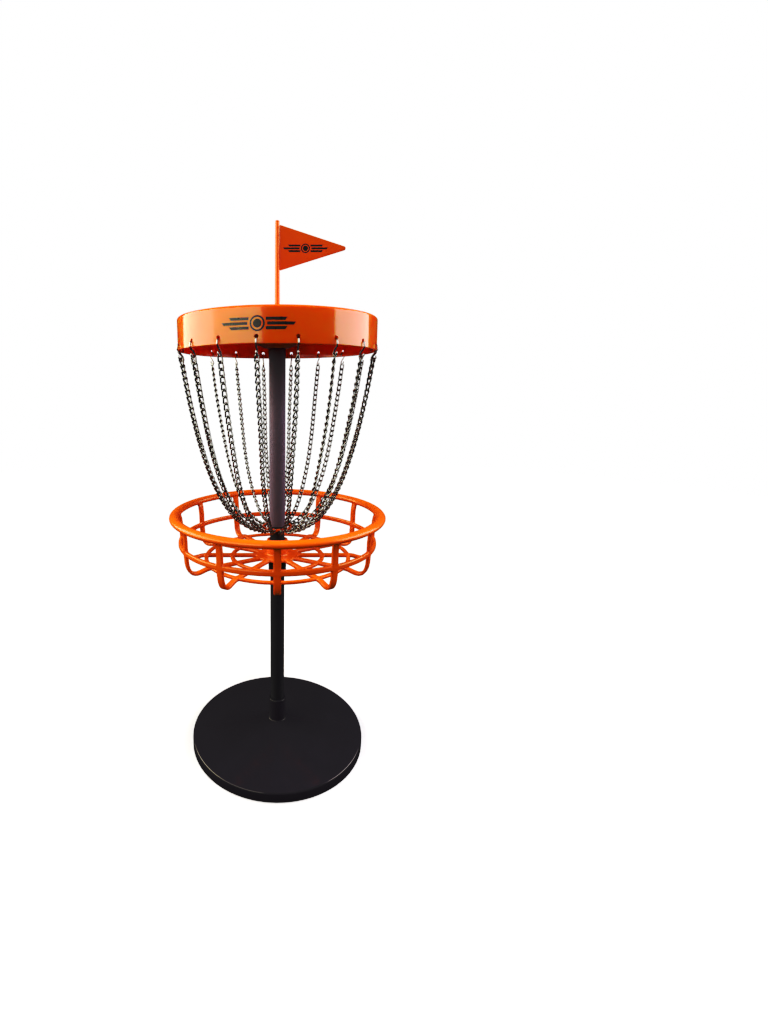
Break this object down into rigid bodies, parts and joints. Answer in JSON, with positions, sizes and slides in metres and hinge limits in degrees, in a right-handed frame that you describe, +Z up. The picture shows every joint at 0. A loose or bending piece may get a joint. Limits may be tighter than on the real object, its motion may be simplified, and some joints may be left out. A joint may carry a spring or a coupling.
{
  "type": "disc golf basket",
  "caption": "Small free-standing disc golf basket: weighted round foot, two-part pole, open moulded basket, hanging chains under a deep round band, and a flag on top.",
  "frame": {"origin": "centre of the underside of the foot, on the surface that it stands on", "axes": "+Z up along the pole; the front is -Y; the flag points along +X"},
  "size_m": [0.2488, 0.2488, 0.61],
  "materials": {
    "gloss_orange": "high-gloss injection-moulded orange",
    "moulded_orange": "satin-gloss injection-moulded orange",
    "flag_orange": "semi-gloss orange plastic",
    "charcoal_pole": "satin charcoal powder coat",
    "black_pole": "satin black powder coat",
    "black_plastic": "fine-textured black plastic",
    "gloss_black_plastic": "glossy black plastic with light scuffs",
    "cast_ballast": "rough cast",
    "plated_wire": "bright zinc-plated wire",
    "plated_chain": "bright nickel-plated twisted-link chain",
    "bright_steel": "zinc-plated fasteners"
  },
  "bodies": {
    "stand": {"base_cover": "gloss_black_plastic", "base_ballast": "cast_ballast", "base_plate": "black_plastic", "base_screw_1": "bright_steel", "base_screw_2": "bright_steel", "base_screw_3": "bright_steel", "base_screw_4": "bright_steel", "pole_bolt": "bright_steel", "pole_washer": "bright_steel", "lower_pole": "black_pole", "pole_foot_plug": "black_plastic", "stop_sleeve": "black_plastic", "upper_pole": "charcoal_pole", "pole_top_plug": "black_plastic", "basket": "moulded_orange", "top_band": "gloss_orange"},
    "chain_ring": {"chain_ring": "moulded_orange"},
    "flag_mast": {"flag_mast": "flag_orange"},
    "flag_pennant": {"flag_pennant": "flag_orange"},
    "s_hook_01": {"s_hook_01": "plated_wire"},
    "chain_01": {"chain_01": "plated_chain"},
    "s_hook_02": {"s_hook_02": "plated_wire"},
    "chain_02": {"chain_02": "plated_chain"},
    "s_hook_03": {"s_hook_03": "plated_wire"},
    "chain_03": {"chain_03": "plated_chain"},
    "s_hook_04": {"s_hook_04": "plated_wire"},
    "chain_04": {"chain_04": "plated_chain"},
    "s_hook_05": {"s_hook_05": "plated_wire"},
    "chain_05": {"chain_05": "plated_chain"},
    "s_hook_06": {"s_hook_06": "plated_wire"},
    "chain_06": {"chain_06": "plated_chain"},
    "s_hook_07": {"s_hook_07": "plated_wire"},
    "chain_07": {"chain_07": "plated_chain"},
    "s_hook_08": {"s_hook_08": "plated_wire"},
    "chain_08": {"chain_08": "plated_chain"},
    "s_hook_09": {"s_hook_09": "plated_wire"},
    "chain_09": {"chain_09": "plated_chain"},
    "s_hook_10": {"s_hook_10": "plated_wire"},
    "chain_10": {"chain_10": "plated_chain"},
    "s_hook_11": {"s_hook_11": "plated_wire"},
    "chain_11": {"chain_11": "plated_chain"},
    "s_hook_12": {"s_hook_12": "plated_wire"},
    "chain_12": {"chain_12": "plated_chain"},
    "s_hook_13": {"s_hook_13": "plated_wire"},
    "chain_13": {"chain_13": "plated_chain"},
    "s_hook_14": {"s_hook_14": "plated_wire"},
    "chain_14": {"chain_14": "plated_chain"},
    "s_hook_15": {"s_hook_15": "plated_wire"},
    "chain_15": {"chain_15": "plated_chain"},
    "s_hook_16": {"s_hook_16": "plated_wire"},
    "chain_16": {"chain_16": "plated_chain"},
    "s_hook_17": {"s_hook_17": "plated_wire"},
    "chain_17": {"chain_17": "plated_chain"},
    "s_hook_18": {"s_hook_18": "plated_wire"},
    "chain_18": {"chain_18": "plated_chain"}
  },
  "joints": [
    {"name": "ring_twist", "type": "hinge", "parent": "stand", "child": "chain_ring", "pos_m": [0, 0, 0.275], "axis": [0, 0, 1], "range_deg": [-15, 15]},
    {"name": "flag_lift", "type": "slide", "parent": "stand", "child": "flag_mast", "axis": [0, 0, 1], "range_m": [0, 0.03]},
    {"name": "flag_turn", "type": "hinge", "parent": "flag_mast", "child": "flag_pennant", "pos_m": [0, 0, 0.58], "axis": [0, 0, 1], "continuous": true},
    {"name": "hook_lean_01", "type": "hinge", "parent": "stand", "child": "s_hook_01", "pos_m": [0.01855, -0.10518, 0.48], "axis": [0.1589, -0.9009, -0.4039], "range_deg": [-1.5, 1.5]},
    {"name": "chain_swing_01", "type": "hinge", "parent": "s_hook_01", "child": "chain_01", "pos_m": [0.01855, -0.10518, 0.48], "axis": [0.0701, -0.3977, 0.9148], "range_deg": [-12, 12]},
    {"name": "hook_lean_02", "type": "hinge", "parent": "stand", "child": "s_hook_02", "pos_m": [0.0534, -0.09249, 0.48], "axis": [0.4574, -0.7923, -0.4039], "range_deg": [-1.5, 1.5]},
    {"name": "chain_swing_02", "type": "hinge", "parent": "s_hook_02", "child": "chain_02", "pos_m": [0.0534, -0.09249, 0.48], "axis": [0.2019, -0.3498, 0.9148], "range_deg": [-12, 12]},
    {"name": "hook_lean_03", "type": "hinge", "parent": "stand", "child": "s_hook_03", "pos_m": [0.08181, -0.06865, 0.48], "axis": [0.7008, -0.588, -0.4039], "range_deg": [-1.5, 1.5]},
    {"name": "chain_swing_03", "type": "hinge", "parent": "s_hook_03", "child": "chain_03", "pos_m": [0.08181, -0.06865, 0.48], "axis": [0.3094, -0.2596, 0.9148], "range_deg": [-12, 12]},
    {"name": "hook_lean_04", "type": "hinge", "parent": "stand", "child": "s_hook_04", "pos_m": [0.10036, -0.03653, 0.48], "axis": [0.8597, -0.3129, -0.4039], "range_deg": [-1.5, 1.5]},
    {"name": "chain_swing_04", "type": "hinge", "parent": "s_hook_04", "child": "chain_04", "pos_m": [0.10036, -0.03653, 0.48], "axis": [0.3795, -0.1381, 0.9148], "range_deg": [-12, 12]},
    {"name": "hook_lean_05", "type": "hinge", "parent": "stand", "child": "s_hook_05", "pos_m": [0.1068, 0, 0.48], "axis": [0.9148, 0, -0.4039], "range_deg": [-1.5, 1.5]},
    {"name": "chain_swing_05", "type": "hinge", "parent": "s_hook_05", "child": "chain_05", "pos_m": [0.1068, 0, 0.48], "axis": [0.4039, 0, 0.9148], "range_deg": [-12, 12]},
    {"name": "hook_lean_06", "type": "hinge", "parent": "stand", "child": "s_hook_06", "pos_m": [0.10036, 0.03653, 0.48], "axis": [0.8597, 0.3129, -0.4039], "range_deg": [-1.5, 1.5]},
    {"name": "chain_swing_06", "type": "hinge", "parent": "s_hook_06", "child": "chain_06", "pos_m": [0.10036, 0.03653, 0.48], "axis": [0.3795, 0.1381, 0.9148], "range_deg": [-12, 12]},
    {"name": "hook_lean_07", "type": "hinge", "parent": "stand", "child": "s_hook_07", "pos_m": [0.08181, 0.06865, 0.48], "axis": [0.7008, 0.588, -0.4039], "range_deg": [-1.5, 1.5]},
    {"name": "chain_swing_07", "type": "hinge", "parent": "s_hook_07", "child": "chain_07", "pos_m": [0.08181, 0.06865, 0.48], "axis": [0.3094, 0.2596, 0.9148], "range_deg": [-12, 12]},
    {"name": "hook_lean_08", "type": "hinge", "parent": "stand", "child": "s_hook_08", "pos_m": [0.0534, 0.09249, 0.48], "axis": [0.4574, 0.7923, -0.4039], "range_deg": [-1.5, 1.5]},
    {"name": "chain_swing_08", "type": "hinge", "parent": "s_hook_08", "child": "chain_08", "pos_m": [0.0534, 0.09249, 0.48], "axis": [0.2019, 0.3498, 0.9148], "range_deg": [-12, 12]},
    {"name": "hook_lean_09", "type": "hinge", "parent": "stand", "child": "s_hook_09", "pos_m": [0.01855, 0.10518, 0.48], "axis": [0.1589, 0.9009, -0.4039], "range_deg": [-1.5, 1.5]},
    {"name": "chain_swing_09", "type": "hinge", "parent": "s_hook_09", "child": "chain_09", "pos_m": [0.01855, 0.10518, 0.48], "axis": [0.0701, 0.3977, 0.9148], "range_deg": [-12, 12]},
    {"name": "hook_lean_10", "type": "hinge", "parent": "stand", "child": "s_hook_10", "pos_m": [-0.01855, 0.10518, 0.48], "axis": [-0.1589, 0.9009, -0.4039], "range_deg": [-1.5, 1.5]},
    {"name": "chain_swing_10", "type": "hinge", "parent": "s_hook_10", "child": "chain_10", "pos_m": [-0.01855, 0.10518, 0.48], "axis": [-0.0701, 0.3977, 0.9148], "range_deg": [-12, 12]},
    {"name": "hook_lean_11", "type": "hinge", "parent": "stand", "child": "s_hook_11", "pos_m": [-0.0534, 0.09249, 0.48], "axis": [-0.4574, 0.7923, -0.4039], "range_deg": [-1.5, 1.5]},
    {"name": "chain_swing_11", "type": "hinge", "parent": "s_hook_11", "child": "chain_11", "pos_m": [-0.0534, 0.09249, 0.48], "axis": [-0.2019, 0.3498, 0.9148], "range_deg": [-12, 12]},
    {"name": "hook_lean_12", "type": "hinge", "parent": "stand", "child": "s_hook_12", "pos_m": [-0.08181, 0.06865, 0.48], "axis": [-0.7008, 0.588, -0.4039], "range_deg": [-1.5, 1.5]},
    {"name": "chain_swing_12", "type": "hinge", "parent": "s_hook_12", "child": "chain_12", "pos_m": [-0.08181, 0.06865, 0.48], "axis": [-0.3094, 0.2596, 0.9148], "range_deg": [-12, 12]},
    {"name": "hook_lean_13", "type": "hinge", "parent": "stand", "child": "s_hook_13", "pos_m": [-0.10036, 0.03653, 0.48], "axis": [-0.8597, 0.3129, -0.4039], "range_deg": [-1.5, 1.5]},
    {"name": "chain_swing_13", "type": "hinge", "parent": "s_hook_13", "child": "chain_13", "pos_m": [-0.10036, 0.03653, 0.48], "axis": [-0.3795, 0.1381, 0.9148], "range_deg": [-12, 12]},
    {"name": "hook_lean_14", "type": "hinge", "parent": "stand", "child": "s_hook_14", "pos_m": [-0.1068, 0, 0.48], "axis": [-0.9148, 0, -0.4039], "range_deg": [-1.5, 1.5]},
    {"name": "chain_swing_14", "type": "hinge", "parent": "s_hook_14", "child": "chain_14", "pos_m": [-0.1068, 0, 0.48], "axis": [-0.4039, 0, 0.9148], "range_deg": [-12, 12]},
    {"name": "hook_lean_15", "type": "hinge", "parent": "stand", "child": "s_hook_15", "pos_m": [-0.10036, -0.03653, 0.48], "axis": [-0.8597, -0.3129, -0.4039], "range_deg": [-1.5, 1.5]},
    {"name": "chain_swing_15", "type": "hinge", "parent": "s_hook_15", "child": "chain_15", "pos_m": [-0.10036, -0.03653, 0.48], "axis": [-0.3795, -0.1381, 0.9148], "range_deg": [-12, 12]},
    {"name": "hook_lean_16", "type": "hinge", "parent": "stand", "child": "s_hook_16", "pos_m": [-0.08181, -0.06865, 0.48], "axis": [-0.7008, -0.588, -0.4039], "range_deg": [-1.5, 1.5]},
    {"name": "chain_swing_16", "type": "hinge", "parent": "s_hook_16", "child": "chain_16", "pos_m": [-0.08181, -0.06865, 0.48], "axis": [-0.3094, -0.2596, 0.9148], "range_deg": [-12, 12]},
    {"name": "hook_lean_17", "type": "hinge", "parent": "stand", "child": "s_hook_17", "pos_m": [-0.0534, -0.09249, 0.48], "axis": [-0.4574, -0.7923, -0.4039], "range_deg": [-1.5, 1.5]},
    {"name": "chain_swing_17", "type": "hinge", "parent": "s_hook_17", "child": "chain_17", "pos_m": [-0.0534, -0.09249, 0.48], "axis": [-0.2019, -0.3498, 0.9148], "range_deg": [-12, 12]},
    {"name": "hook_lean_18", "type": "hinge", "parent": "stand", "child": "s_hook_18", "pos_m": [-0.01855, -0.10518, 0.48], "axis": [-0.1589, -0.9009, -0.4039], "range_deg": [-1.5, 1.5]},
    {"name": "chain_swing_18", "type": "hinge", "parent": "s_hook_18", "child": "chain_18", "pos_m": [-0.01855, -0.10518, 0.48], "axis": [-0.0701, -0.3977, 0.9148], "range_deg": [-12, 12]}
  ],
  "couplings": [
    {"joint": "hook_lean_01", "follows": "ring_twist", "ratio": 0.07274},
    {"joint": "hook_lean_02", "follows": "ring_twist", "ratio": 0.07274},
    {"joint": "hook_lean_03", "follows": "ring_twist", "ratio": 0.07274},
    {"joint": "hook_lean_04", "follows": "ring_twist", "ratio": 0.07274},
    {"joint": "hook_lean_05", "follows": "ring_twist", "ratio": 0.07274},
    {"joint": "hook_lean_06", "follows": "ring_twist", "ratio": 0.07274},
    {"joint": "hook_lean_07", "follows": "ring_twist", "ratio": 0.07274},
    {"joint": "hook_lean_08", "follows": "ring_twist", "ratio": 0.07274},
    {"joint": "hook_lean_09", "follows": "ring_twist", "ratio": 0.07274},
    {"joint": "hook_lean_10", "follows": "ring_twist", "ratio": 0.07274},
    {"joint": "hook_lean_11", "follows": "ring_twist", "ratio": 0.07274},
    {"joint": "hook_lean_12", "follows": "ring_twist", "ratio": 0.07274},
    {"joint": "hook_lean_13", "follows": "ring_twist", "ratio": 0.07274},
    {"joint": "hook_lean_14", "follows": "ring_twist", "ratio": 0.07274},
    {"joint": "hook_lean_15", "follows": "ring_twist", "ratio": 0.07274},
    {"joint": "hook_lean_16", "follows": "ring_twist", "ratio": 0.07274},
    {"joint": "hook_lean_17", "follows": "ring_twist", "ratio": 0.07274},
    {"joint": "hook_lean_18", "follows": "ring_twist", "ratio": 0.07274}
  ]
}
